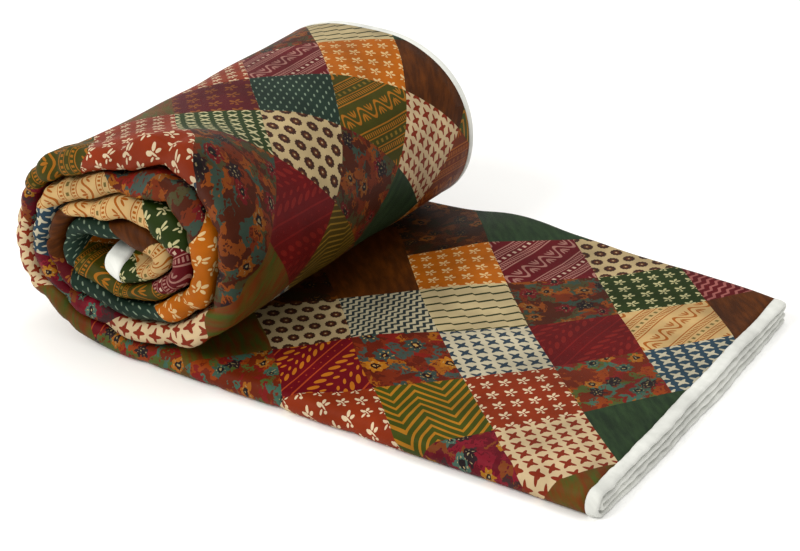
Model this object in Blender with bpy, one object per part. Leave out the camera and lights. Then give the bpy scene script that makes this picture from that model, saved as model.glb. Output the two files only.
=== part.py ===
"""A light single-bed quilt of printed cotton, folded in four along its length and rolled up.

The quilt is one padded sheet. Folding it in half twice gives a stack of four layers that is a
quarter of its width: the near side is two nested folds, and the far side is one fold and the two
long edges. The stack lies flat on the floor at its loose end, and then winds inwards in an oval
roll that lies on its own loose end. A white binding is sewn on all four edges of the sheet.

Every piece starts as a flat cut sheet, one cell for each row along it and place across it, and
each of its points is then folded and rolled. X runs along the loose end, away from the roll. Y
runs along the roll, from the near side to the far side. Z is up, and the floor is at zero.
"""

import math

import bmesh
import bpy
from mathutils import Vector

# The cut sheet, in metres.
QUILT_WIDTH = 1.53
LAYER_THICK = 0.0043
BINDING_WIDE = 0.008
BINDING_THICK = 0.0039
SEAM_GAP = 0.0005

# The stack of four folded layers.
LAYERS = 4
LAYER_GAP = 0.0008
LAYER_PITCH = LAYER_THICK + LAYER_GAP
STACK_THICK = LAYER_THICK + (LAYERS - 1) * LAYER_PITCH
HALF_STACK = QUILT_WIDTH / LAYERS / 2
FOLD_REACH = 0.008  # how far the folded far side stands past the two long edges
PANEL_CELLS = 5
OUTER_BEND_CELLS = 6
INNER_BEND_CELLS = 4

# The roll: an oval spiral that winds inwards, and the loose end that it lies on.
ROLL_HALF_HEIGHT = 0.108
ROLL_OVAL = 0.032  # half of how much wider than high each turn is
OVAL_SHARPNESS = 2.5
TURN_GAP = 0.0022
TURN_PITCH = STACK_THICK + TURN_GAP
TURN_ROWS = 16
ROLL_ROWS = 64  # four turns
LOOSE_LENGTH = 0.470  # from under the middle of the roll to the end of the print
LOOSE_ROWS = 7

# The cut end of the loose end: the lowest layer bulges out at its middle and each one above it is
# drawn in more, the near side reaches further than the far side, and the layers part. The far side
# flares out beside the roll and narrows after it.
END_BULGE = 0.004
END_DRAWN_IN_A_LEVEL = 0.001
END_SKEW = 0.003
END_PARTING = 0.0006
END_NARROWING = 0.025
FAR_FLARE = 0.016

# How the roll is uneven: its near side sags lower, and slumps towards the loose end.
NEAR_SAG = 0.050
# Soft bulges and dents in the roll, which fade out towards its middle. The columns are degrees
# round the roll from its bottom, Y, how many degrees wide, how long along Y, and share of its size.
BULGES = (
    (50, -0.170, 35, 0.120, 0.110),
    (115, -0.190, 40, 0.120, -0.030),
    (150, 0.000, 45, 0.090, -0.020),
    (200, -0.190, 40, 0.080, 0.110),
    (234, -0.190, 28, 0.080, 0.130),
    (280, -0.190, 50, 0.200, 0.200),
    (310, 0.190, 30, 0.120, 0.080),
)
# Soft rises and dips in the loose end. The columns are the distance along X from under the middle
# of the roll, Y, how long along X, how wide along Y, and the share of the stack's thickness.
RISES = (
    (0.160, 0.160, 0.080, 0.090, 0.60),
    (0.300, 0.020, 0.060, 0.060, -0.12),
)

PRINT_COLOUR = (0.23, 0.045, 0.025, 1.0)
BINDING_COLOUR = (0.78, 0.80, 0.78, 1.0)
PRINT_ROUGHNESS = 0.6
BINDING_ROUGHNESS = 0.75


def clear_scene():
    for old in list(bpy.data.objects):
        bpy.data.objects.remove(old, do_unlink=True)


def cloth_material(name, colour, roughness):
    material = bpy.data.materials.new(name)
    material.use_nodes = True
    shader = material.node_tree.nodes["Principled BSDF"]
    shader.inputs["Base Color"].default_value = colour
    shader.inputs["Roughness"].default_value = roughness
    shader.inputs["Metallic"].default_value = 0.0
    return material


def smooth_step(share):
    share = min(1.0, max(0.0, share))
    return share * share * (3 - 2 * share)


def fold_runs():
    """The panels and bends of the stack, in order across the cloth from one long edge.

    A panel is (length, cells, start Y, end Y, level, face), where level 0 is at the bottom and
    face is 1 where the printed face is up. A bend is (length, cells, Y, side, middle, radius, face),
    where it stands out to side, round a middle level, with its radius in pitches, which is
    negative where the bend goes down, and face is 1 where the printed face is outside.
    """
    outer_bend = math.pi * 1.5 * LAYER_PITCH
    inner_bend = math.pi * 0.5 * LAYER_PITCH
    past_edge = FOLD_REACH - 0.5 * LAYER_PITCH - 0.5 * LAYER_THICK
    panel = (QUILT_WIDTH - outer_bend - 2 * inner_bend - 2 * past_edge) / LAYERS
    near = -panel / 2
    edge = panel / 2
    far = edge + past_edge
    return (
        (panel, PANEL_CELLS, edge, near, 0, -1),
        (outer_bend, OUTER_BEND_CELLS, near, -1, 1.5, 1.5, 1),
        (panel, PANEL_CELLS, near, edge, 3, 1),
        (past_edge, 1, edge, far, 3, 1),
        (inner_bend, INNER_BEND_CELLS, far, 1, 2.5, -0.5, 1),
        (past_edge, 1, far, edge, 2, -1),
        (panel, PANEL_CELLS, edge, near, 2, -1),
        (inner_bend, INNER_BEND_CELLS, near, -1, 1.5, -0.5, -1),
        (panel, PANEL_CELLS, near, edge, 1, 1),
    )


def places_across():
    """Distances across the cut sheet, from one long edge: even ones in each panel and bend."""
    places = [0.0]
    for length, cells, *_ in fold_runs():
        start = places[-1]
        places += [start + length * (cell + 1) / cells for cell in range(cells)]
    return places


def folded(across, out, parting):
    """(Y, height, level) in the stack of a point so far across the cut sheet, and out of its middle.

    parting is how much further apart than usual the layers lie there.
    """
    runs = fold_runs()
    for run in runs:
        if across <= run[0] or run is runs[-1]:
            break
        across -= run[0]
    share = across / run[0]
    pitch = LAYER_PITCH + parting
    if len(run) == 6:
        _, _, start, end, level, face = run
        return start + (end - start) * share, LAYER_THICK / 2 + level * pitch + face * out, level
    _, _, y, side, middle, radius, face = run
    reach = abs(radius) * pitch + face * out
    turned = math.pi * share
    height = LAYER_THICK / 2 + middle * pitch - math.copysign(reach, radius) * math.cos(turned)
    return y + side * reach * math.sin(turned), height, middle - radius * math.cos(turned)


def spiral(turned):
    """(X, Z) of the stack's outer face after so many radians round the roll, from its bottom."""
    high = ROLL_HALF_HEIGHT - TURN_PITCH * turned / math.tau
    oval = ROLL_OVAL * math.tanh(OVAL_SHARPNESS * math.sin(turned)) / math.tanh(OVAL_SHARPNESS)
    return -high * math.sin(turned) - oval, ROLL_HALF_HEIGHT - high * math.cos(turned)


def rolled(row, height):
    """(X, Z) of a height in the stack, at a row of the cloth. Row 0 is the end of the print."""
    if row <= LOOSE_ROWS:
        return LOOSE_LENGTH * (1 - row / LOOSE_ROWS), height
    row_turn = math.tau / TURN_ROWS
    turned = (row - LOOSE_ROWS) * row_turn
    x, z = spiral(turned)
    before = Vector(spiral(turned - row_turn / 2))
    after = Vector(spiral(turned + row_turn / 2))
    along = (after - before).normalized()
    return x + along.y * height, z - along.x * height


def soft_bumps(rows, first, second, period=None):
    """The sum of the soft bumps of a table at a place, which its first two columns give."""
    total = 0.0
    for values in rows:
        centre_1, centre_2, reach_1, reach_2, share = values
        off = first - centre_1
        if period:
            off = (off + period / 2) % period - period / 2
        total += share * math.exp(-((off / reach_1) ** 2) - ((second - centre_2) / reach_2) ** 2)
    return total


def uneven(x, y, z):
    """The same point once the roll and the loose end are pushed out of true, on a flat floor."""
    from_middle = math.hypot(x, z - ROLL_HALF_HEIGHT)
    in_roll = smooth_step((2 * ROLL_HALF_HEIGHT - from_middle) / ROLL_HALF_HEIGHT)
    turned = math.degrees(math.atan2(-x, ROLL_HALF_HEIGHT - z))
    outward = min(1.0, from_middle / ROLL_HALF_HEIGHT) ** 2
    swell = outward * soft_bumps(BULGES, turned, y, period=360)
    rise = soft_bumps(RISES, x, y)
    lift = 1 + (swell - NEAR_SAG * (1 - y / HALF_STACK) / 2) * in_roll
    return x * lift, y, z * lift * (1 + rise * (1 - in_roll))


def placed(row, across, out):
    """The place of a point of the cloth: its row, how far across it is, how far out of its middle."""
    loose = max(0.0, 1 - row / LOOSE_ROWS)
    parting = END_PARTING * loose * loose
    y, height, level = folded(across, out, parting)
    x, z = rolled(row, height)
    drawn_in = END_DRAWN_IN_A_LEVEL * level - END_BULGE
    x -= drawn_in * loose * loose * (1 - (y / HALF_STACK) ** 2)
    x -= END_SKEW * loose * loose * y / HALF_STACK
    flare = 4 * FAR_FLARE * loose * (1 - loose) - END_NARROWING * loose
    y += flare * (1 + y / HALF_STACK) / 2
    return uneven(x, y, z)


def cloth(name, rows, places, thick, material):
    """A closed strip of cloth of this thickness, over these rows and these places across."""
    flat = bmesh.new()
    row_cells = len(rows) - 1
    place_cells = len(places) - 1
    bmesh.ops.create_grid(flat, x_segments=row_cells, y_segments=place_cells, size=0.5)
    upper = bmesh.ops.extrude_face_region(flat, geom=flat.faces[:])
    raised = [part for part in upper["geom"] if isinstance(part, bmesh.types.BMVert)]
    bmesh.ops.translate(flat, vec=(0, 0, 1), verts=raised)
    bmesh.ops.recalc_face_normals(flat, faces=flat.faces[:])
    for point in flat.verts:
        row = rows[round((point.co.x + 0.5) * row_cells)]
        across = places[round((point.co.y + 0.5) * place_cells)]
        out = (point.co.z - 0.5) * thick
        point.co = placed(row, across, out)
    if flat.calc_volume(signed=True) < 0:
        bmesh.ops.reverse_faces(flat, faces=flat.faces[:])
    mesh = bpy.data.meshes.new(name)
    flat.to_mesh(mesh)
    flat.free()
    mesh.materials.append(material)
    return bpy.data.objects.new(name, mesh)


def quilt(material):
    rows = list(range(LOOSE_ROWS + ROLL_ROWS + 1))
    return cloth("quilt", rows, places_across(), LAYER_THICK, material)


def bound_places():
    """The places across an end binding, which also covers the ends of the two side bindings."""
    return [-BINDING_WIDE, *places_across(), QUILT_WIDTH + BINDING_WIDE]


def end_binding(material):
    row_long = LOOSE_LENGTH / LOOSE_ROWS
    rows = [-BINDING_WIDE / row_long, -SEAM_GAP / row_long]
    return cloth("end_binding", rows, bound_places(), BINDING_THICK, material)


def start_binding(material):
    last = LOOSE_ROWS + ROLL_ROWS
    row_long = math.dist(rolled(last - 0.5, STACK_THICK / 2), rolled(last + 0.5, STACK_THICK / 2))
    rows = [last + SEAM_GAP / row_long, last + BINDING_WIDE / row_long]
    return cloth("start_binding", rows, bound_places(), BINDING_THICK, material)


def side_bindings(material):
    rows = list(range(LOOSE_ROWS + ROLL_ROWS + 1))
    lower = [-BINDING_WIDE, -SEAM_GAP]
    upper = [QUILT_WIDTH + SEAM_GAP, QUILT_WIDTH + BINDING_WIDE]
    return (
        cloth("side_binding_lower", rows, lower, BINDING_THICK, material),
        cloth("side_binding_upper", rows, upper, BINDING_THICK, material),
    )


def stand_over_origin(pieces):
    """Moves the meshes so that the middle of their box is over the origin."""
    points = [point.co for piece in pieces for point in piece.data.vertices]
    middle_x = (min(p.x for p in points) + max(p.x for p in points)) / 2
    middle_y = (min(p.y for p in points) + max(p.y for p in points)) / 2
    for point in points:
        point.x -= middle_x
        point.y -= middle_y


def main():
    clear_scene()
    collection = bpy.data.collections.new("rolled_quilt")
    bpy.context.scene.collection.children.link(collection)
    printed = cloth_material("printed_cotton", PRINT_COLOUR, PRINT_ROUGHNESS)
    white = cloth_material("white_binding", BINDING_COLOUR, BINDING_ROUGHNESS)
    pieces = [quilt(printed), end_binding(white), start_binding(white), *side_bindings(white)]
    stand_over_origin(pieces)
    for piece in pieces:
        piece.data.shade_smooth()
        collection.objects.link(piece)


main()
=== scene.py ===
"""The looks of a light single-bed quilt of printed cotton, folded in four along its length and rolled up.

The cloth is built flat, cut along the edges of its printed patches, and then folded and rolled by
the same sizes as the CAD solid that it stands for. Every patch of the print is one of about thirty
block-print designs, each with its own material.
"""

import math

import bmesh
import bpy
from mathutils import Matrix, Vector, noise


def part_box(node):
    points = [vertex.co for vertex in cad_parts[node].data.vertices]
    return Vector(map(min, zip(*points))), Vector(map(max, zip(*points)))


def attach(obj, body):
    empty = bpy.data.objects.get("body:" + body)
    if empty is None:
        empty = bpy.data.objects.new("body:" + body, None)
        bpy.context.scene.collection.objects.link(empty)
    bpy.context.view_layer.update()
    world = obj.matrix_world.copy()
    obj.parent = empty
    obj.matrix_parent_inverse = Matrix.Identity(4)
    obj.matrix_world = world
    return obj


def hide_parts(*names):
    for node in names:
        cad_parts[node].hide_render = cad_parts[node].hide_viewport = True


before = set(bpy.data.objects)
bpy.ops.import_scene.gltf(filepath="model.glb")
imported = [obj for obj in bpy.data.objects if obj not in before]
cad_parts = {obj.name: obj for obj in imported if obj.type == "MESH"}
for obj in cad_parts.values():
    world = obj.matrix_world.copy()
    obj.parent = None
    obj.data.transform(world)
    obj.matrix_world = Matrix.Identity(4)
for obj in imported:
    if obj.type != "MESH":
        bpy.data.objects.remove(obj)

# ---------------------------------------------------------------------------------------------
# The cut sheet and the stack of four folded layers, in metres
# ---------------------------------------------------------------------------------------------

QUILT_WIDTH = 1.53
LAYER_THICK = 0.0043
BINDING_WIDE = 0.008
LAYERS = 4
LAYER_GAP = 0.0008
LAYER_PITCH = LAYER_THICK + LAYER_GAP
STACK_THICK = LAYER_THICK + (LAYERS - 1) * LAYER_PITCH
HALF_STACK = QUILT_WIDTH / LAYERS / 2
FOLD_REACH = 0.008
OUTER_BEND = math.pi * 1.5 * LAYER_PITCH
INNER_BEND = math.pi * 0.5 * LAYER_PITCH
PAST_EDGE = FOLD_REACH - 0.5 * LAYER_PITCH - 0.5 * LAYER_THICK
PANEL = (QUILT_WIDTH - OUTER_BEND - 2 * INNER_BEND - 2 * PAST_EDGE) / LAYERS
NEAR = -PANEL / 2
EDGE = PANEL / 2
FAR = EDGE + PAST_EDGE

# Across the cloth, from one long edge. A panel is (length, cells, start Y, end Y, level, face) and a
# bend is (length, cells, Y, side, middle level, radius in pitches, face), as in the CAD part.
FOLD_RUNS = (
    (PANEL, 22, EDGE, NEAR, 0, -1),
    (OUTER_BEND, 12, NEAR, -1, 1.5, 1.5, 1),
    (PANEL, 26, NEAR, EDGE, 3, 1),
    (PAST_EDGE, 1, EDGE, FAR, 3, 1),
    (INNER_BEND, 6, FAR, 1, 2.5, -0.5, 1),
    (PAST_EDGE, 1, FAR, EDGE, 2, -1),
    (PANEL, 7, EDGE, NEAR, 2, -1),
    (INNER_BEND, 6, NEAR, -1, 1.5, -0.5, -1),
    (PANEL, 7, NEAR, EDGE, 1, 1),
)
SHOWN_RUNS = 5  # the runs whose print shows, so their patches are cut out

# The roll and its loose end.
ROLL_HALF_HEIGHT = 0.108
ROLL_OVAL = 0.032
OVAL_SHARPNESS = 2.5
TURN_GAP = 0.0022
TURN_PITCH = STACK_THICK + TURN_GAP
TURN_ROWS = 16
ROLL_ROWS = 64
LOOSE_LENGTH = 0.470
LOOSE_ROWS = 7
ROW_LONG = LOOSE_LENGTH / LOOSE_ROWS
LAST_ROW = LOOSE_ROWS + ROLL_ROWS
FIRST_TURN = LOOSE_ROWS + TURN_ROWS
# Each is (first row, last row, cells in a row).
FINE_ROWS = ((0, LOOSE_ROWS, 7), (LOOSE_ROWS, FIRST_TURN, 9), (FIRST_TURN, LAST_ROW, 5))

END_BULGE = 0.004
END_DRAWN_IN_A_LEVEL = 0.001
END_SKEW = 0.003
END_PARTING = 0.0006
END_NARROWING = 0.025
FAR_FLARE = 0.016
NEAR_SAG = 0.050
BULGES = (
    (50, -0.170, 35, 0.120, 0.110),
    (115, -0.190, 40, 0.120, -0.030),
    (150, 0.000, 45, 0.090, -0.020),
    (200, -0.190, 40, 0.080, 0.110),
    (234, -0.190, 28, 0.080, 0.130),
    (280, -0.190, 50, 0.200, 0.200),
    (310, 0.190, 30, 0.120, 0.080),
)
RISES = (
    (0.160, 0.160, 0.080, 0.090, 0.60),
    (0.300, 0.020, 0.060, 0.060, -0.12),
)

# ---------------------------------------------------------------------------------------------
# The camera of the photograph, and the printed patches
# ---------------------------------------------------------------------------------------------

IMAGE_WIDE = 800
SENSOR_WIDE = 36.0
CAMERA_PLACE = (0.9550, -1.0685, 0.7049)  # before the shift to the frame
CAMERA_AZIMUTH = 36.439
CAMERA_ELEVATION = 26.483
CAMERA_ROLL = 3.018
FOCAL_PIXELS = 1604.7

# The print is a lattice of square patches set on the diagonal. u and v count patches along their
# sides, and PATCH_CORNER is where the corner (0, 0) lies on the flat cloth, as (along, across).
PATCH_DIAGONAL = 0.1135
PATCH_CORNER = (0.2314, 0.5428)
PATCH = 1000 * PATCH_DIAGONAL / math.sqrt(2)  # a patch's side in millimetres
# The print of the layer outside the roll has slipped and turned a little. The turn and the spread
# grow with the distance from the top of the roll along the cloth, up to SLIP_LAST, and the turn
# also from SLIP_MIDDLE across it.
SLIP_WIDE = 0.20
TOP_OF_ROLL = 0.49  # along the cloth, from the foot of the roll
SLIP_LAST = 0.22
SLIP_MIDDLE = 0.18
SLIP_ALONG = 0.0096
SLIP_ACROSS = -0.028
SLIP_TURN = 0.073
SLIP_SPREAD = 0.084
# How far the cloth of the loose end is pulled out of true along and across, in metres. The columns
# multiply 1, x, y, x x, x y and y y, where x and y count patch diagonals from PATCH_CORNER, and stay
# between the values of PULLED_X and PULLED_Y.
PULLED = (
    (0.0059, -0.0114, 0.0007, 0.0063, 0.0024, -0.0066),
    (-0.0012, -0.0053, -0.0052, 0.0075, 0.0068, -0.0010),
)
PULLED_X = (-0.5, 2.0)
PULLED_Y = (-1.5, 1.5)
ROLL_PATCHES = -6  # past this u the motifs are printed the other way up


def clamped(value, low, high):
    return min(high, max(low, value))


def smooth_step(share):
    share = clamped(share, 0.0, 1.0)
    return share * share * (3 - 2 * share)


# ---------------------------------------------------------------------------------------------
# Folding and rolling the cloth
# ---------------------------------------------------------------------------------------------


def folded(across, out, parting):
    """(Y, height, level) in the stack of a point so far across the cut sheet, and out of its middle."""
    for run in FOLD_RUNS:
        if across <= run[0] or run is FOLD_RUNS[-1]:
            break
        across -= run[0]
    share = across / run[0]
    pitch = LAYER_PITCH + parting
    if len(run) == 6:
        _, _, start, end, level, face = run
        return start + (end - start) * share, LAYER_THICK / 2 + level * pitch + face * out, level
    _, _, y, side, middle, radius, face = run
    reach = abs(radius) * pitch + face * out
    turned = math.pi * share
    height = LAYER_THICK / 2 + middle * pitch - math.copysign(reach, radius) * math.cos(turned)
    return y + side * reach * math.sin(turned), height, middle - radius * math.cos(turned)


def spiral(turned):
    """(X, Z) of the stack's outer face after so many radians round the roll, from its bottom."""
    high = ROLL_HALF_HEIGHT - TURN_PITCH * turned / math.tau
    oval = ROLL_OVAL * math.tanh(OVAL_SHARPNESS * math.sin(turned)) / math.tanh(OVAL_SHARPNESS)
    return -high * math.sin(turned) - oval, ROLL_HALF_HEIGHT - high * math.cos(turned)


def rolled(row, height):
    """(X, Z) of a height in the stack, at a row of the cloth. Row 0 is the end of the print."""
    if row <= LOOSE_ROWS:
        return LOOSE_LENGTH * (1 - row / LOOSE_ROWS), height
    row_turn = math.tau / TURN_ROWS
    turned = (row - LOOSE_ROWS) * row_turn
    x, z = spiral(turned)
    before = Vector(spiral(turned - row_turn / 2))
    after = Vector(spiral(turned + row_turn / 2))
    along = (after - before).normalized()
    return x + along.y * height, z - along.x * height


def soft_bumps(rows, first, second, period=None):
    """The sum of the soft bumps of a table at a place, which its first two columns give."""
    total = 0.0
    for centre_1, centre_2, reach_1, reach_2, share in rows:
        off = first - centre_1
        if period:
            off = (off + period / 2) % period - period / 2
        total += share * math.exp(-((off / reach_1) ** 2) - ((second - centre_2) / reach_2) ** 2)
    return total


def uneven(x, y, z):
    """The same point once the roll and the loose end are pushed out of true, on a flat floor."""
    from_middle = math.hypot(x, z - ROLL_HALF_HEIGHT)
    in_roll = smooth_step((2 * ROLL_HALF_HEIGHT - from_middle) / ROLL_HALF_HEIGHT)
    turned = math.degrees(math.atan2(-x, ROLL_HALF_HEIGHT - z))
    outward = min(1.0, from_middle / ROLL_HALF_HEIGHT) ** 2
    swell = outward * soft_bumps(BULGES, turned, y, period=360)
    rise = soft_bumps(RISES, x, y)
    lift = 1 + (swell - NEAR_SAG * (1 - y / HALF_STACK) / 2) * in_roll
    return x * lift, y, z * lift * (1 + rise * (1 - in_roll))


def placed(row, across, out):
    """The place of a point of the cloth: its row, how far across it is, how far out of its middle."""
    loose = max(0.0, 1 - row / LOOSE_ROWS)
    parting = END_PARTING * loose * loose
    y, height, level = folded(across, out, parting)
    x, z = rolled(row, height)
    drawn_in = END_DRAWN_IN_A_LEVEL * level - END_BULGE
    x -= drawn_in * loose * loose * (1 - (y / HALF_STACK) ** 2)
    x -= END_SKEW * loose * loose * y / HALF_STACK
    flare = 4 * FAR_FLARE * loose * (1 - loose) - END_NARROWING * loose
    y += flare * (1 + y / HALF_STACK) / 2
    return uneven(x, y, z)


def frame_shift():
    """From the places above to the frame: the CAD part's middle is over its origin."""
    places = [0.0]
    for length, *_ in FOLD_RUNS:
        start = places[-1]
        places += [start + length * cell / 10 for cell in range(1, 11)]
    end = [placed(0, across, 0) for across in places]
    fold = [placed(row, PANEL + OUTER_BEND / 2, LAYER_THICK / 2) for row in (0, LAST_ROW)]
    lowest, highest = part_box("quilt")
    furthest = max(x for x, _, _ in end) - highest.x
    return Vector((furthest, min(y for _, y, _ in fold) - lowest.y, 0))


# The CAD quilt reaches furthest along X at the end of the print, at the middle of its lowest layer,
# and furthest against Y at its near fold.
SHIFT = frame_shift()


# Creases across the near fold. Each is (row, half its width in rows, how deep it is in metres).
FOLD_CREASES = (
    (3.30, 0.10, 0.0012), (4.45, 0.12, 0.0014), (5.60, 0.09, 0.0011), (6.70, 0.12, 0.0013),
    (8.20, 0.12, 0.0018), (8.85, 0.10, 0.0012), (9.60, 0.14, 0.0024), (10.30, 0.10, 0.0014),
    (11.05, 0.13, 0.0020), (11.80, 0.11, 0.0012), (12.45, 0.14, 0.0024), (13.20, 0.12, 0.0018),
    (13.85, 0.12, 0.0030), (14.60, 0.14, 0.0014), (15.30, 0.12, 0.0024), (16.10, 0.16, 0.0030),
    (17.05, 0.12, 0.0016), (18.20, 0.14, 0.0020), (19.40, 0.12, 0.0014), (20.30, 0.14, 0.0024),
    (21.20, 0.12, 0.0014), (22.10, 0.14, 0.0020), (23.40, 0.16, 0.0018), (24.60, 0.16, 0.0024),
    (25.70, 0.14, 0.0016), (26.80, 0.16, 0.0020), (27.90, 0.16, 0.0016), (28.70, 0.14, 0.0024),
    (29.40, 0.12, 0.0020), (30.10, 0.14, 0.0024), (31.20, 0.16, 0.0018), (32.40, 0.18, 0.0030),
    (33.80, 0.16, 0.0016), (35.30, 0.18, 0.0020), (36.80, 0.18, 0.0024), (38.40, 0.18, 0.0018),
    (40.10, 0.20, 0.0024), (41.60, 0.20, 0.0020), (43.20, 0.20, 0.0024), (45.00, 0.20, 0.0018),
    (46.30, 0.18, 0.0026), (48.10, 0.22, 0.0020), (50.40, 0.22, 0.0024), (52.60, 0.24, 0.0018),
    (54.80, 0.24, 0.0024), (57.00, 0.26, 0.0020), (59.40, 0.26, 0.0020), (63.00, 0.30, 0.0026),
)
CREASE_ACROSS = PANEL + OUTER_BEND * 0.5
CREASE_REACH = 0.030
CREASE_STRENGTH = 1.15

# Ripples run over the whole cloth, and stronger crumples grow from CRUMPLE_FROM towards the near
# side, and with the height above the floor.
RIPPLE = 0.0016
RIPPLE_SIZE = 0.055
CRUMPLE = 0.0080
CRUMPLE_SIZE = 0.042
CRUMPLE_FROM = -0.115
CRUMPLE_REACH = 0.055
CRUMPLE_RISE = 0.05
CRUMPLE_OFFSET = (7.3, 1.9, 4.4)  # so that they don't follow the ripples
SHARE_ACROSS = 0.4
FLAT_ON_FLOOR = 0.02  # below this height the cloth is held flat by the floor
noise.seed_set(3)  # without a seed, the ripples would differ from run to run


def creased(row, across):
    """How far the creases of the near fold draw the cloth in at a place."""
    off = (across - CREASE_ACROSS) / CREASE_REACH
    if abs(off) > 2.5:
        return 0.0
    depth = sum(
        deep * math.exp(-(((row - crease) / half) ** 2))
        for crease, half, deep in FOLD_CREASES if abs(row - crease) < 3 * half
    )
    return CREASE_STRENGTH * depth * math.exp(-off * off)


def crumpled(point):
    """The same point with the soft, uneven ripples of handled cloth, stronger at the near side."""
    near = smooth_step((CRUMPLE_FROM - point.y) / CRUMPLE_REACH) * smooth_step(point.z / CRUMPLE_RISE)
    moved = noise.noise_vector(point / RIPPLE_SIZE) * RIPPLE
    moved += noise.noise_vector(point / CRUMPLE_SIZE + Vector(CRUMPLE_OFFSET)) * CRUMPLE * near
    moved.y *= SHARE_ACROSS
    moved.z *= smooth_step(point.z / FLAT_ON_FLOOR)
    moved += point
    moved.z = max(moved.z, 0.0)
    return moved


def dressed(row, across, out):
    """The place in the frame of a point of the cloth."""
    return crumpled(Vector(placed(row, across, out - creased(row, across))) - SHIFT)


# ---------------------------------------------------------------------------------------------
# The flat cloth: rows along it, places across it, and where its print lies
# ---------------------------------------------------------------------------------------------


def fine_rows():
    rows = [0.0]
    for first, last, count in FINE_ROWS:
        rows += [first + (cell + 1) / count for cell in range((last - first) * count)]
    return rows


def fine_places():
    places = [0.0]
    for length, count, *_ in FOLD_RUNS:
        start = places[-1]
        places += [start + length * (cell + 1) / count for cell in range(count)]
    return places


def distances_along(rows):
    """The distance along the cloth of each row, on the outer face of the roll."""
    along = [0.0]
    for before, after in zip(rows, rows[1:]):
        along.append(along[-1] + math.dist(rolled(before, 0), rolled(after, 0)))
    return along


def print_place(along, across):
    """The place in the print, in metres along and across, of a place of the cloth.

    The layer outside the roll has worked a little askew, so its print has slipped.
    """
    from_top = min(along - LOOSE_LENGTH - TOP_OF_ROLL, SLIP_LAST)
    rolled_up = smooth_step((along - LOOSE_LENGTH) / SLIP_WIDE)
    slip = rolled_up * (1 - smooth_step((across - PANEL - OUTER_BEND) / PANEL))
    slipped_along = SLIP_ALONG - SLIP_TURN * from_top
    slipped_across = SLIP_ACROSS + SLIP_TURN * (across - SLIP_MIDDLE) - SLIP_SPREAD * from_top
    x = clamped((PATCH_CORNER[0] - along) / PATCH_DIAGONAL, *PULLED_X)
    y = clamped((across - PATCH_CORNER[1]) / PATCH_DIAGONAL, *PULLED_Y)
    pulled_along, pulled_across = (
        c + c_x * x + c_y * y + c_xx * x * x + c_xy * x * y + c_yy * y * y
        for c, c_x, c_y, c_xx, c_xy, c_yy in PULLED
    )
    pulled = 1 - rolled_up
    return (
        along + slip * slipped_along - pulled * pulled_along,
        across + slip * slipped_across - pulled * pulled_across,
    )


def patch_place(along, across):
    """(u, v) in the lattice of patches, of a place in the print."""
    x = (PATCH_CORNER[0] - along) / PATCH_DIAGONAL
    y = (across - PATCH_CORNER[1]) / PATCH_DIAGONAL
    return x + y, x - y


# ---------------------------------------------------------------------------------------------
# Which design each patch has
# ---------------------------------------------------------------------------------------------

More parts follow.
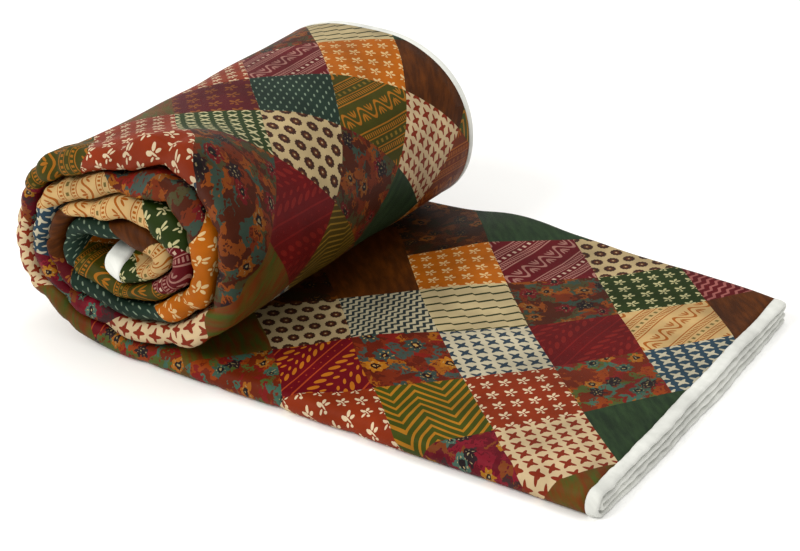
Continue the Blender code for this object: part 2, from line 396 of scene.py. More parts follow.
# The patches that show in the photograph, as (u, v): design.
CHART = {
    # on the loose end
    (0, -4): "brown_floral", (-1, -4): "brown_floral", (1, -4): "plain_green", (0, -3): "brown_floral",
    (-1, -3): "plain_brown", (1, -3): "plain_green", (0, -2): "ochre_sprigs", (-2, -2): "brown_floral",
    (1, -2): "maroon_border", (2, -2): "flower_dots", (-1, -2): "plain_brown",
    (-2, -1): "flower_dots", (-1, -1): "blue_zigzag", (0, -1): "stepped_lines",
    (1, -1): "dark_floral", (2, -1): "green_sprigs", (3, -1): "maroon_zigzag",
    (-3, 0): "rust_floral", (-2, 0): "leaf_vine", (-1, 0): "paisley_floral",
    (0, 0): "blue_birds", (1, 0): "red_veins", (2, 0): "orange_border",
    (3, 0): "plain_brown", (-2, 1): "rust_sprigs", (-1, 1): "chevron",
    (0, 1): "rust_sprigs", (1, 1): "rust_floral", (2, 1): "blue_stars",
    (-1, 2): "crimson_floral", (0, 2): "rust_stars", (1, 2): "plain_green",
    (0, 3): "olive_streaks", (2, -3): "plain_green", (2, 2): "plain_green", (3, 1): "plain_brown",
    (-3, -1): "olive_streaks",
    # on the outside of the roll
    (-10, -4): "flower_dots", (-10, -3): "teal_dashes", (-9, -4): "green_birds",
    (-9, -3): "gold_sprigs", (-10, -2): "maroon_border", (-11, -2): "ochre_sprigs",
    (-11, -1): "stepped_lines", (-12, -2): "plain_brown", (-11, -3): "olive_bands",
    (-12, -3): "rust_stars", (-13, -3): "rust_bands", (-11, -4): "dark_floral",
    (-12, -4): "plain_green", (-10, -5): "red_veins", (-9, -5): "dark_floral",
    (-11, -5): "gold_lines", (-8, -4): "rust_sprigs", (-12, -1): "plain_green",
    (-8, -3): "olive_streaks", (-9, -2): "rust_sprigs",
    # on the near folds of the roll, from its outside turn inwards
    (-4, -1): "rust_floral", (-4, 0): "olive_streaks", (-5, -1): "rust_floral",
    (-5, -2): "olive_streaks", (-6, -2): "olive_streaks", (-6, -3): "rust_stars",
    (-6, -4): "crimson_floral", (-7, -3): "crimson_floral", (-7, -4): "olive_bands",
    (-7, -5): "rust_sprigs", (-8, -5): "rust_sprigs",
    (-9, -6): "dark_floral", (-10, -6): "olive_streaks", (-10, -7): "rust_stars",
    (-11, -7): "rust_stars", (-11, -8): "crimson_floral", (-12, -8): "crimson_floral",
    (-12, -9): "blue_stars", (-13, -9): "orange_border", (-13, -10): "orange_border",
    (-14, -10): "paisley_floral", (-14, -11): "dark_floral", (-15, -11): "ochre_sprigs",
    (-15, -12): "ochre_sprigs", (-16, -12): "teal_dashes", (-16, -13): "teal_dashes",
    (-17, -13): "gold_sprigs", (-17, -14): "plain_brown", (-18, -14): "orange_border",
    (-18, -15): "orange_border", (-19, -15): "green_sprigs", (-19, -16): "maroon_border",
    (-20, -16): "olive_bands", (-20, -17): "olive_bands", (-21, -17): "teal_dashes",
    (-21, -18): "teal_dashes", (-22, -18): "plain_brown", (-22, -19): "orange_border",
    (-23, -19): "green_sprigs", (-23, -20): "green_sprigs",
}
DESIGNS = (
    "rust_sprigs", "plain_brown", "blue_stars", "chevron", "maroon_border", "green_birds",
    "dark_floral", "flower_dots", "leaf_vine", "teal_dashes", "ochre_sprigs", "crimson_floral",
    "stepped_lines", "red_veins", "green_sprigs", "orange_border", "plain_green", "maroon_zigzag",
    "olive_bands", "rust_stars", "paisley_floral", "blue_zigzag", "olive_streaks", "blue_birds",
    "rust_floral", "gold_sprigs", "gold_lines", "rust_bands", "brown_floral",
)


def design_of(u, v):
    """The name of the design of a patch, by the chart, or else by turns."""
    return CHART.get((u, v)) or DESIGNS[(7 * u + 11 * v) % len(DESIGNS)]


# ---------------------------------------------------------------------------------------------
# Materials
# ---------------------------------------------------------------------------------------------


def linear(colour, alpha=1.0):
    """An sRGB hex colour as linear RGBA."""
    parts = [int(colour[i : i + 2], 16) / 255 for i in (1, 3, 5)]
    return (*(c / 12.92 if c <= 0.04045 else ((c + 0.055) / 1.055) ** 2.4 for c in parts), alpha)


def add(tree, kind, *inputs, out=0, **settings):
    """Adds a node with its settings, sets or links its inputs in order, and returns one output."""
    node = tree.nodes.new("ShaderNode" + kind)
    for name, value in settings.items():
        setattr(node, name, value)
    for socket, value in zip(node.inputs, inputs):
        if isinstance(value, bpy.types.NodeSocket):
            tree.links.new(value, socket)
        elif value is not None:
            socket.default_value = value
    return node.outputs[out]


def maths(tree, operation, *values):
    """Adds a node that does this with its values, and returns its output."""
    return add(tree, "Math", *values, operation=operation)


def repeats(tree, place, size, step=0.0):
    """The place in each repeat of this size, from -0.5 to 0.5 each way.

    Each row of repeats is moved along by step of a repeat past the row before it.
    """
    share = add(tree, "VectorMath", place, (1 / size, 1 / size, 0), operation="MULTIPLY")
    if step:
        row = maths(tree, "ROUND", add(tree, "SeparateXYZ", share, out="Y"))
        moved = add(tree, "CombineXYZ", maths(tree, "MULTIPLY", row, step))
        share = add(tree, "VectorMath", share, moved, operation="ADD")
    return add(tree, "VectorMath", share, (0.5, 0.5, 0), (-0.5, -0.5, 0), operation="WRAP")


def ovals(tree, place, rows):
    """1 inside any oval of a table of (x, y, half long, half wide, degrees)."""
    nearest = None
    for x, y, half_long, half_wide, degrees in rows:
        local = add(
            tree, "Mapping", place, (x, y, 0), (0, 0, math.radians(degrees)),
            (half_long, half_wide, 1), vector_type="TEXTURE",
        )
        far = add(tree, "VectorMath", local, operation="LENGTH", out="Value")
        nearest = far if nearest is None else maths(tree, "MINIMUM", nearest, far)
    return maths(tree, "LESS_THAN", nearest, 1.0)


def stripe(tree, across, centre, half):
    """1 no further than half from the centre."""
    return maths(tree, "COMPARE", across, centre, half)


def mix(tree, share, under, over):
    """One colour over another; each is a hex colour or a socket."""
    under, over = (linear(c) if isinstance(c, str) else c for c in (under, over))
    return add(tree, "MixRGB", share, under, over)


def x_and_y(tree, place):
    return add(tree, "SeparateXYZ", place, out="X"), add(tree, "SeparateXYZ", place, out="Y")


def along_and_down(tree, place):
    """The place in millimetres along X, away from the roll, and across it."""
    return x_and_y(tree, add(tree, "Mapping", place, None, (0, 0, math.radians(45))))


# The small motifs as ovals, in shares of a repeat: (x, y, half long, half wide, degrees).
SPRIG = (
    (-0.17, 0.13, 0.15, 0.090, -58),
    (0.12, 0.22, 0.16, 0.080, 52),
    (0.24, 0.02, 0.14, 0.070, 8),
    (-0.01, 0.00, 0.04, 0.210, 22),
    (-0.20, -0.16, 0.13, 0.055, 30),
    (0.03, -0.27, 0.09, 0.065, -20),
)
STAR = (
    (0.03, 0.03, 0.54, 0.120, -45),
    (0.00, 0.00, 0.46, 0.135, 45),
    (0.05, -0.05, 0.20, 0.190, 0),
)
BIRD = (
    (0.00, 0.00, 0.50, 0.105, -46),
    (0.00, 0.00, 0.50, 0.105, 46),
    (0.00, 0.00, 0.15, 0.170, 0),
)
# The fans of a border and the dots and leaves of a vine, as ovals in millimetres.
FANS = (
    (-3.6, 6.5, 4.4, 1.0, 0), (-4.0, 9.6, 4.0, 1.0, -28), (-4.0, 3.4, 4.0, 1.0, 28),
    (3.6, -6.5, 4.4, 1.0, 0), (4.0, -9.6, 4.0, 1.0, -28), (4.0, -3.4, 4.0, 1.0, 28),
)
VINE_DOTS = ((0, 0, 0.9, 0.9, 0),)
VINE_LEAVES = ((16.5, 0, 6.4, 2.1, 62), (24.5, 2, 3.6, 1.3, 66))
DASH = ((0, 0, 0.30, 0.10, 0),)

# The florals: the size of a blot of the ground in millimetres, how far blots and flowers are drawn
# askew, the share of blots in the first two colours, and the petals of a flower.
BLOT_SIZE = 9
BLOT_WOBBLE = (26, 26, 0)
FLOWER_WOBBLE = (11, 11, 0)
MAIN_GROUND = 0.35
PETALS = 7.0


def motifs(tree, place, ground, ink, shape, count):
    """Rows of one small motif, this many to the side of a patch."""
    mask = ovals(tree, repeats(tree, place, PATCH / count), shape)
    return mix(tree, mask, ground, ink)


def flower_dots(tree, place, ground, petal, heart):
    """Round flowers with scalloped edges, in staggered rows."""
    local = repeats(tree, place, PATCH / 5, step=0.5)
    far = add(tree, "VectorMath", local, operation="LENGTH", out="Value")
    x, y = x_and_y(tree, local)
    turn = maths(tree, "ARCTAN2", y, x)
    lobes = maths(tree, "COSINE", maths(tree, "MULTIPLY", turn, 11.0))
    edge = maths(tree, "MULTIPLY_ADD", lobes, 0.022, 0.365)
    colour = mix(tree, maths(tree, "LESS_THAN", far, edge), ground, petal)
    colour = mix(tree, maths(tree, "LESS_THAN", far, 0.16), colour, heart)
    return mix(tree, maths(tree, "LESS_THAN", far, 0.06), colour, ground)


def zigzags(tree, place, ground, ink, spacing, wave, swing, share):
    """Zigzag lines that run across the cloth, side by side."""
    along, down = along_and_down(tree, place)
    swung = maths(tree, "PINGPONG", down, wave / 2)
    moved = maths(tree, "MULTIPLY_ADD", swung, 2 * swing / wave, along)
    line = maths(tree, "PINGPONG", moved, spacing)
    return mix(tree, maths(tree, "LESS_THAN", line, spacing * share), ground, ink)


def stepped_lines(tree, place, ground, ink):
    """Thin lines that run along a patch's side, and drop by a little step again and again."""
    x, y = x_and_y(tree, place)
    share = maths(tree, "WRAP", x, 16.0, 0.0)
    back = maths(tree, "MULTIPLY_ADD", share, -1.5, 24.0)
    drop = maths(tree, "MINIMUM", maths(tree, "MULTIPLY", share, 0.18), back)
    swung = maths(tree, "SUBTRACT", y, drop)
    line = maths(tree, "PINGPONG", swung, PATCH / 13)
    return mix(tree, maths(tree, "LESS_THAN", line, 1.3), ground, ink)


def chevron(tree, place, ground, ink):
    """Broad chevrons along a patch's side, with a line of the other colour between them."""
    x, y = x_and_y(tree, place)
    swung = maths(tree, "ADD", maths(tree, "PINGPONG", x, 23.0), y)
    line = maths(tree, "PINGPONG", swung, 5.0)
    return mix(tree, maths(tree, "LESS_THAN", line, 1.8), ground, ink)


def border(tree, place, ground, ink, dots):
    """Bands across the cloth: a scroll with fans in it, then a ladder, a row of dots and a ladder."""
    along, down = along_and_down(tree, place)
    half = 250 * PATCH_DIAGONAL
    band = maths(tree, "WRAP", along, half, -half)
    wave = maths(tree, "SINE", maths(tree, "MULTIPLY", down, math.tau / 26))
    off = maths(tree, "MULTIPLY_ADD", wave, -7.0, band)
    colour = mix(tree, stripe(tree, off, 0.0, 1.7), ground, ink)
    local = add(tree, "CombineXYZ", band, maths(tree, "WRAP", down, 13.0, -13.0))
    colour = mix(tree, ovals(tree, local, FANS), colour, ink)
    from_dots = maths(tree, "SUBTRACT", half, maths(tree, "ABSOLUTE", band))
    rungs = maths(tree, "LESS_THAN", maths(tree, "PINGPONG", down, 1.6), 0.8)
    ladder = maths(tree, "MULTIPLY", stripe(tree, from_dots, 8.0, 2.0), rungs)
    colour = mix(tree, ladder, colour, ink)
    colour = mix(tree, stripe(tree, from_dots, 12.2, 0.7), colour, ink)
    colour = mix(tree, stripe(tree, from_dots, 4.4, 0.5), colour, ink)
    spots = maths(tree, "LESS_THAN", maths(tree, "PINGPONG", down, 4.0), 1.7)
    spots = maths(tree, "MULTIPLY", stripe(tree, from_dots, 0.0, 1.7), spots)
    return mix(tree, spots, colour, dots)


def leaf_vine(tree, place, ground, line, leaf):
    """Pairs of lines across the cloth with dots between, and sprays of leaves between the pairs."""
    along, down = along_and_down(tree, place)
    period = 500 * PATCH_DIAGONAL
    band = maths(tree, "WRAP", along, period / 2, -period / 2)
    from_middle = maths(tree, "ABSOLUTE", band)
    colour = mix(tree, stripe(tree, from_middle, 6.5, 0.8), ground, line)
    local = add(tree, "CombineXYZ", from_middle, maths(tree, "WRAP", down, 6.0, -6.0))
    colour = mix(tree, ovals(tree, local, VINE_DOTS), colour, line)
    leaves = ovals(tree, local, VINE_LEAVES)
    return mix(tree, leaves, colour, leaf)


def dashes(tree, place, ground, ink):
    local = repeats(tree, place, PATCH / 9, step=0.5)
    turned = add(tree, "Mapping", local, None, (0, 0, math.radians(90)))
    return mix(tree, ovals(tree, turned, DASH), ground, ink)


def streaks(tree, place, ground, ink, amount):
    """A plain colour with long soft streaks of another, which run across the cloth."""
    turned = add(tree, "Mapping", place, None, (0, 0, math.radians(45)), (0.14, 0.03, 1))
    cloud = add(tree, "TexNoise", turned, None, 1.0, 4.0, 0.6, out="Fac", noise_dimensions="2D")
    share = add(tree, "MapRange", cloud, 0.62 - amount * 0.3, 0.70, 0.0, 1.0)
    return mix(tree, share, ground, ink)


def voronoi(tree, place, scale, randomness=1.0):
    """The outputs of a flat Voronoi texture."""
    node = tree.nodes.new("ShaderNodeTexVoronoi")
    node.voronoi_dimensions = "2D"
    tree.links.new(place, node.inputs["Vector"])
    node.inputs["Scale"].default_value = scale
    node.inputs["Randomness"].default_value = randomness
    return node.outputs


def floral(tree, place, grounds, petals, specks, size):
    """Block-printed blossoms over a marbled ground. grounds, petals and specks are hex colours."""
    wobble = add(tree, "TexNoise", place, None, 0.08, 3.0, 0.65, out="Color", noise_dimensions="2D")
    moved = add(tree, "VectorMath", wobble, BLOT_WOBBLE, place, operation="MULTIPLY_ADD")
    blots = voronoi(tree, moved, 1 / BLOT_SIZE)
    pick = add(tree, "SeparateXYZ", blots["Color"], out="X")
    colour = grounds[0]
    for i, ground in enumerate(grounds[1:]):
        limit = MAIN_GROUND + (1 - MAIN_GROUND) * i / (len(grounds) - 1)
        chosen = maths(tree, "GREATER_THAN", pick, limit)
        colour = mix(tree, chosen, colour, ground)
    veins = maths(tree, "LESS_THAN", blots["Distance"], 0.16)
    colour = mix(tree, veins, colour, grounds[0])
    askew = add(tree, "VectorMath", wobble, FLOWER_WOBBLE, place, operation="MULTIPLY_ADD")
    share = add(tree, "VectorMath", askew, (1 / size, 1 / size, 0), operation="MULTIPLY")
    flowers = voronoi(tree, share, 1.0, randomness=0.8)
    local = add(tree, "VectorMath", share, flowers["Position"], operation="SUBTRACT")
    random = add(tree, "SeparateXYZ", flowers["Color"], out="X")
    x, y = x_and_y(tree, local)
    turn = maths(tree, "ARCTAN2", y, x)
    first = maths(tree, "MULTIPLY", random, 9.0)
    lobes = maths(tree, "MULTIPLY_ADD", turn, PETALS, first)
    lobes = maths(tree, "COSINE", lobes)
    edge = maths(tree, "MULTIPLY_ADD", lobes, 0.045, 0.27)
    far = flowers["Distance"]
    petal = petals[0]
    for i, other in enumerate(petals[1:]):
        chosen = maths(tree, "GREATER_THAN", random, (i + 1) / len(petals))
        petal = mix(tree, chosen, petal, other)
    colour = mix(tree, maths(tree, "LESS_THAN", far, edge), colour, petal)
    ring = stripe(tree, far, 0.17, 0.016)
    beads = maths(tree, "COSINE", maths(tree, "MULTIPLY", turn, PETALS))
    beads = maths(tree, "GREATER_THAN", beads, 0.6)
    beads = maths(tree, "MULTIPLY", beads, ring)
    colour = mix(tree, maths(tree, "LESS_THAN", far, 0.12), colour, specks[0])
    colour = mix(tree, beads, colour, specks[1])
    return mix(tree, maths(tree, "LESS_THAN", far, 0.04), colour, specks[1])


# Each design: the function that draws it, and its colours and sizes.
PRINTS = {
    "rust_sprigs": (motifs, "#923210", "#EBD3AE", SPRIG, 5),
    "ochre_sprigs": (motifs, "#BE650A", "#E9C58A", SPRIG, 5),
    "green_sprigs": (motifs, "#28380F", "#CFC793", SPRIG, 5),
    "gold_sprigs": (motifs, "#5A0E16", "#8E501C", SPRIG, 4),
    "blue_birds": (motifs, "#D6CBAD", "#31424F", STAR, 6),
    "rust_stars": (motifs, "#E0C59A", "#8C2F17", STAR, 6),
    "blue_stars": (motifs, "#2F4858", "#CFC6AB", STAR, 6),
    "green_birds": (motifs, "#2A3D12", "#CEC596", BIRD, 6),
    "flower_dots": (flower_dots, "#C9B183", "#42251A", "#6B3A1E"),
    "blue_zigzag": (zigzags, "#C6BB9A", "#2C3637", 3.4, 10, 3.6, 0.50),
    "maroon_zigzag": (zigzags, "#5E0C12", "#A5605A", 4.6, 12, 4, 0.36),
    "stepped_lines": (stepped_lines, "#CFBB8D", "#2B3415"),
    "chevron": (chevron, "#454E10", "#B87A1C"),
    "gold_lines": (zigzags, "#4F3F0E", "#96742A", 2.6, 60, 6, 0.28),
    "maroon_border": (border, "#660D16", "#B07C70", "#D0B09A"),
    "orange_border": (border, "#D9B479", "#AC5E17", "#7A6A38"),
    "olive_bands": (border, "#46430D", "#AC6A18", "#8A6A22"),
    "rust_bands": (border, "#7A3410", "#B5621A", "#94501C"),
    "leaf_vine": (leaf_vine, "#700E18", "#B84A20", "#C8741C"),
    "red_veins": (leaf_vine, "#6A0A0C", "#801614", "#841C16"),
    "teal_dashes": (dashes, "#1F3328", "#7F917B"),
    "plain_brown": (streaks, "#4A2406", "#68350A", 0.8),
    "plain_green": (streaks, "#243523", "#33492C", 0.9),
    "olive_streaks": (streaks, "#7A3812", "#4E5A1E", 0.9),
    "dark_floral": (
        floral, ("#4E200E", "#752E12", "#4A4428", "#8A4414", "#3A4A3E"),
        ("#2A1A1C", "#8A4C16", "#6E181A"), ("#1E1819", "#8A7A58"), 27,
    ),
    "brown_floral": (
        floral, ("#3A1D0A", "#542A0C", "#30240F", "#66360E", "#4A230C"),
        ("#7E4512", "#2A1C14", "#5A2A0E"), ("#1E1610", "#8A6228"), 27,
    ),
    "rust_floral": (
        floral, ("#74280E", "#964012", "#55602C", "#841F1A", "#466A58"),
        ("#2E2022", "#A86218", "#3E5A4C"), ("#201C1E", "#A89464"), 25,
    ),
    "crimson_floral": (
        floral, ("#68101E", "#861A2A", "#741422", "#452A2A", "#84421C"),
        ("#2E1C20", "#B0741A", "#4C6A5C"), ("#241A1C", "#B8A478"), 24,
    ),
    "paisley_floral": (
        floral, ("#66200E", "#7E2C12", "#861F15", "#44524A", "#A86016"),
        ("#BC7418", "#3A4A44", "#521414"), ("#2C1212", "#C89C58"), 34,
    ),
}


# The weave is drawn several times as coarse as real cotton, whose threads are too fine to show.
THREAD = 1.4  # millimetres


def new_material(name):
    material = bpy.data.materials.new(name)
    material.use_nodes = True
    return material, material.node_tree


def cloth_finish(tree, colour, roughness, specular, darkest, palest):
    """Smooth, lightly glazed cotton: a soft sheen, a fine weave, and colour that is a little worn."""
    uv = add(tree, "UVMap", uv_map="print")
    worn = add(tree, "TexNoise", uv, None, 0.02, 3.0, 0.6, out="Fac", noise_dimensions="2D")
    tone = add(tree, "MapRange", worn, 0.25, 0.75, darkest, palest)
    tint = add(tree, "CombineXYZ", tone, tone, tone)
    colour = add(tree, "VectorMath", colour, tint, operation="MULTIPLY")
    weave = add(tree, "TexWave", uv, 1 / THREAD, 0.0, wave_profile="SIN", bands_direction="X", out="Fac")
    weft = add(tree, "TexWave", uv, 1 / THREAD, 0.0, wave_profile="SIN", bands_direction="Y", out="Fac")
    height = maths(tree, "ADD", weave, weft)
    normal = add(tree, "Bump", 0.12, 0.0003, None, height)
    shader = tree.nodes["Principled BSDF"]
    tree.links.new(colour, shader.inputs["Base Color"])
    tree.links.new(normal, shader.inputs["Normal"])
    shader.inputs["Roughness"].default_value = roughness
    shader.inputs["Specular IOR Level"].default_value = specular


def printed_cotton(name):
    """Block-printed cotton poplin: flat dyed colours with crisp motifs and a slight glaze."""
    draw, *settings = PRINTS[name]
    material, tree = new_material("printed_cotton_" + name)
    colour = draw(tree, add(tree, "UVMap", uv_map="print"), *settings)
    cloth_finish(tree, colour, roughness=0.5, specular=0.06, darkest=0.46, palest=0.74)
    return material


def white_cotton():
    """Bleached cotton tape and backing: white, soft, a little blue in the shade."""
    material, tree = new_material("bleached_cotton")
    uv = add(tree, "UVMap", uv_map="print")
    cloud = add(tree, "TexNoise", uv, None, 0.15, 3.0, 0.6, out="Fac", noise_dimensions="2D")
    colour = mix(tree, cloud, "#D8DAD4", "#ECEDE8")
    cloth_finish(tree, colour, roughness=0.75, specular=0.15, darkest=0.68, palest=0.96)
    return material


# ---------------------------------------------------------------------------------------------
# The quilt
# ---------------------------------------------------------------------------------------------


CUT_ALONG = (0, 2.6)
CUT_FROM_ACROSS = -0.05


def new_piece(name, body, materials):
    """The piece of this name, from a mesh that is built, and that is freed."""
    mesh = bpy.data.meshes.new(name)
    body.to_mesh(mesh)
    body.free()
    for material in materials:
        mesh.materials.append(material)
    piece = bpy.data.objects.new(name, mesh)
    bpy.context.scene.collection.objects.link(piece)
    return piece


def is_printed(face):
    """Whether a face of the flat cloth is on its printed side, which is at 1, and its back at 0."""
    return all(vert.co.z > 0.5 for vert in face.verts)


def cut_along_patches(flat, last_across):
    """Cuts the printed face of the flat cloth along the sides of its patches."""
    corner = Vector((PATCH_CORNER[0], PATCH_CORNER[1], 0))
    ends = [patch_place(along, across) for along in CUT_ALONG for across in (CUT_FROM_ACROSS, last_across)]
    for side in (0, 1):
        first = math.floor(min(end[side] for end in ends))
        last = math.ceil(max(end[side] for end in ends))
        normal = Vector((-1, 1 if side == 0 else -1, 0))
        for count in range(first, last + 1):
            middle = corner - Vector((count * PATCH_DIAGONAL, 0, 0))
            faces = [
                face for face in flat.faces
                if is_printed(face) and all(v.co.y < last_across + 0.001 for v in face.verts)
            ]
            edges = {edge for face in faces for edge in face.edges}
            verts = {vert for face in faces for vert in face.verts}
            bmesh.ops.bisect_plane(
                flat, geom=[*faces, *edges, *verts], dist=1e-5, plane_co=middle, plane_no=normal
            )


def flat_cloth():
    """The cloth as it lies flat, at the places of its print, with the row and the place across of
    each vertex, and the layers that hold them.
    """
    rows = fine_rows()
    places = fine_places()
    along = distances_along(rows)
    flat = bmesh.new()
    row_layer = flat.verts.layers.float.new("row")
    across_layer = flat.verts.layers.float.new("across")
    grid = []
    for side in (0, 1):
        grid.append([])
        for row, distance in zip(rows, along):
            line = []
            for across in places:
                vert = flat.verts.new((*print_place(distance, across), side))
                vert[row_layer] = row
                vert[across_layer] = across
                line.append(vert)
            grid[side].append(line)
    lower, upper = grid
    for i in range(len(rows) - 1):
        for j in range(len(places) - 1):
            flat.faces.new((upper[i][j], upper[i + 1][j], upper[i + 1][j + 1], upper[i][j + 1]))
            flat.faces.new((lower[i][j], lower[i][j + 1], lower[i + 1][j + 1], lower[i + 1][j]))
    rim = [(i, 0) for i in range(len(rows))]
    rim += [(len(rows) - 1, j) for j in range(1, len(places))]
    rim += [(i, len(places) - 1) for i in range(len(rows) - 2, -1, -1)]
    rim += [(0, j) for j in range(len(places) - 2, 0, -1)]
    for (i, j), (k, m) in zip(rim, rim[1:] + rim[:1]):
        flat.faces.new((lower[i][j], lower[k][m], upper[k][m], upper[i][j]))
    return flat, row_layer, across_layer


def quilt(materials, back):
    """The quilt, cut along its patches while it is flat, and then folded and rolled."""
    flat, row_layer, across_layer = flat_cloth()
    cut_along_patches(flat, sum(run[0] for run in FOLD_RUNS[:SHOWN_RUNS]))
    names = list(materials)
    uv_layer = flat.loops.layers.uv.new("print")
    for face in flat.faces:
        middle = face.calc_center_median()
        u, v = patch_place(middle.x, middle.y)
        name = design_of(math.floor(u), math.floor(v))
        turned = -1 if u < ROLL_PATCHES else 1
        face.material_index = names.index(name) if is_printed(face) else len(names)
        face.smooth = True
        for loop in face.loops:
            u, v = patch_place(loop.vert.co.x, loop.vert.co.y)
            loop[uv_layer].uv = (turned * u * PATCH, -turned * v * PATCH)
    for vert in flat.verts:
        out = (vert.co.z - 0.5) * LAYER_THICK
        vert.co = dressed(vert[row_layer], vert[across_layer], out)
    if flat.calc_volume(signed=True) < 0:
        bmesh.ops.reverse_faces(flat, faces=flat.faces[:])
    return new_piece("quilt_cloth", flat, [*materials.values(), back])


# ---------------------------------------------------------------------------------------------
# The white binding: a tape that wraps round each edge
# ---------------------------------------------------------------------------------------------

SIDE_TAPE_WIDE = 0.007
START_TAPE_WIDE = 0.018  # more of it shows, as it has come loose in the hollow of the roll
END_TAPE_CELL = 0.0028
TAPE_PAST_FACE = 0.0003
TAPE_HALF = LAYER_THICK / 2 + TAPE_PAST_FACE
TAPE_ENDS = (0.5, 0.9)  # how far the end tapes reach over the side tapes, in shares of their width
PUCKER_LONG = 0.011
PUCKER = 0.16
SWELL_LONG = 0.006
SWELL = 0.22
# Round the tape, as (share of the way out from the edge, share of its half thickness).
TAPE_SECTION = (
    (-0.4, 1.0), (-0.1, 1.08), (0.3, 1.05), (0.7, 0.85), (0.93, 0.5), (1.0, 0.0),
    (0.93, -0.5), (0.7, -0.85), (0.3, -1.05), (-0.1, -1.08), (-0.4, -1.0),
)


def tape(name, stations, place, wide, material):
    """A closed tape along these stations; place(station, beyond the edge, out) gives a point."""
    body = bmesh.new()
    uv_layer = body.loops.layers.uv.new("print")
    rings = []
    for station in stations:
        rings.append([
            body.verts.new(place(station, beyond * wide, out * TAPE_HALF))
            for beyond, out in TAPE_SECTION
        ])
    count = len(TAPE_SECTION)
    for before, after in zip(rings, rings[1:]):
        for i in range(count):
            k = (i + 1) % count
            body.faces.new((before[i], before[k], after[k], after[i]))
    body.faces.new(rings[0])
    body.faces.new(rings[-1])
    bmesh.ops.recalc_face_normals(body, faces=body.faces[:])
    for face in body.faces:
        face.smooth = True
        for loop in face.loops:
            loop[uv_layer].uv = (loop.vert.co.y * 1000, (loop.vert.co.x + loop.vert.co.z) * 1000)
    return new_piece(name, body, [material])


def end_tape_place(across, beyond, out):
    """The tape at the end of the print is puffy, and its stitches pucker it every few millimetres."""
    pucker = noise.noise(Vector((across / PUCKER_LONG, 3.7, 0.0)))
    swell = 1 + SWELL * noise.noise(Vector((across / SWELL_LONG, 0.0, beyond / SWELL_LONG)))
    beyond *= 1 + PUCKER * pucker
    return dressed(-beyond / ROW_LONG, across, out * swell)


def start_tape_place(across, beyond, out):
    half_thick = STACK_THICK / 2
    last_long = math.dist(rolled(LAST_ROW - 0.5, half_thick), rolled(LAST_ROW + 0.5, half_thick))
    return dressed(LAST_ROW + beyond / last_long, across, out)


def lower_side_tape_place(row, beyond, out):
    return dressed(row, -beyond, out)


def upper_side_tape_place(row, beyond, out):
    return dressed(row, QUILT_WIDTH + beyond, out)


def bindings(white):
    rows = fine_rows()
    places = [-SIDE_TAPE_WIDE * share for share in reversed(TAPE_ENDS)]
    for start, end in zip(fine_places(), fine_places()[1:]):
        cells_here = max(1, round((end - start) / END_TAPE_CELL))
        places += [start + (end - start) * cell / cells_here for cell in range(cells_here)]
    places += [QUILT_WIDTH] + [QUILT_WIDTH + SIDE_TAPE_WIDE * share for share in TAPE_ENDS]
    return (
        tape("end_tape", places, end_tape_place, BINDING_WIDE, white),
        tape("start_tape", places, start_tape_place, START_TAPE_WIDE, white),
        tape("lower_side_tape", rows, lower_side_tape_place, SIDE_TAPE_WIDE, white),
        tape("upper_side_tape", rows, upper_side_tape_place, SIDE_TAPE_WIDE, white),
    )


# ---------------------------------------------------------------------------------------------
# The floor, the light and the camera
# ---------------------------------------------------------------------------------------------


FLOOR_WIDE = 12
WORLD_STRENGTH = 0.75
# Each light is (name, place, target, size, power, colour).
LIGHTS = (
    ("window", (-1.0, -2.2, 2.2), (0, 0, 0.05), 1.6, 60, "#FFFDF8"),
    ("overhead", (0.4, 0.6, 2.6), (0, 0, 0), 2.0, 25, "#FFFFFF"),
)


def pale_floor():
    bpy.ops.mesh.primitive_plane_add(size=FLOOR_WIDE, location=(0, 0, 0))
    floor = bpy.context.object
    floor.name = "pale_floor"
    material, tree = new_material("matt_pale_floor")
    shader = tree.nodes["Principled BSDF"]
    shader.inputs["Base Color"].default_value = linear("#FFFFFF")
    shader.inputs["Roughness"].default_value = 0.9
    floor.data.materials.append(material)


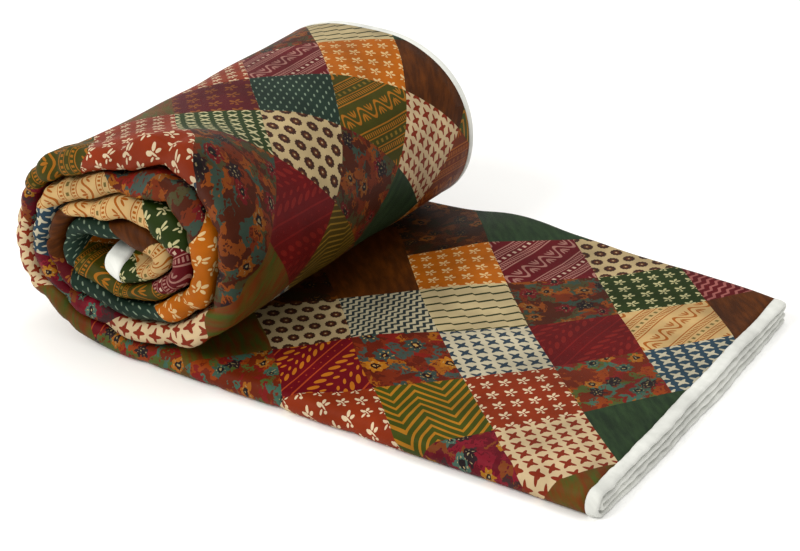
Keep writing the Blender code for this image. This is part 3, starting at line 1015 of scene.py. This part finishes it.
def soft_light(name, place, target, size, power, colour):
    data = bpy.data.lights.new(name, "AREA")
    data.shape = "DISK"
    data.size = size
    data.energy = power
    data.color = linear(colour)[:3]
    light = bpy.data.objects.new(name, data)
    light.location = place
    light.rotation_euler = (Vector(target) - Vector(place)).to_track_quat("-Z", "Y").to_euler()
    bpy.context.scene.collection.objects.link(light)


def studio():
    world = bpy.data.worlds.new("soft_studio")
    bpy.context.scene.world = world
    world.use_nodes = True
    background = world.node_tree.nodes["Background"]
    background.inputs["Color"].default_value = linear("#FCFAF5")
    background.inputs["Strength"].default_value = WORLD_STRENGTH
    for light in LIGHTS:
        soft_light(*light)


def photograph_camera():
    azimuth = math.radians(CAMERA_AZIMUTH)
    elevation = math.radians(CAMERA_ELEVATION)
    roll = math.radians(CAMERA_ROLL)
    forward = Vector((
        -math.sin(azimuth) * math.cos(elevation),
        math.cos(azimuth) * math.cos(elevation),
        -math.sin(elevation),
    ))
    level_right = forward.cross(Vector((0, 0, 1))).normalized()
    level_down = forward.cross(level_right)
    right = level_right * math.cos(roll) + level_down * math.sin(roll)
    down = -level_right * math.sin(roll) + level_down * math.cos(roll)
    data = bpy.data.cameras.new("photograph_camera")
    data.sensor_width = SENSOR_WIDE
    data.lens = FOCAL_PIXELS * SENSOR_WIDE / IMAGE_WIDE
    camera = bpy.data.objects.new("photograph_camera", data)
    turned = Matrix((right, -down, -forward)).transposed().to_4x4()
    camera.matrix_world = Matrix.Translation(Vector(CAMERA_PLACE) - SHIFT) @ turned
    bpy.context.scene.collection.objects.link(camera)
    bpy.context.scene.camera = camera


# ---------------------------------------------------------------------------------------------
# Putting it together
# ---------------------------------------------------------------------------------------------

bpy.context.scene.view_settings.view_transform = "Standard"
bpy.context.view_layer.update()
bpy.ops.object.select_all(action="DESELECT")
white = white_cotton()
cloth = quilt({name: printed_cotton(name) for name in PRINTS}, white)
end_tape, start_tape, lower_tape, upper_tape = bindings(white)

REPLACED = (
    (cloth, "quilt", "printed_cotton"),
    (end_tape, "end_binding", "white_binding"),
    (start_tape, "start_binding", "white_binding"),
    (lower_tape, "side_binding_lower", "white_binding"),
    (upper_tape, "side_binding_upper", "white_binding"),
)
for piece, node, slot in REPLACED:
    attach(piece, "root")
    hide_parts(node)

pale_floor()
studio()
photograph_camera()
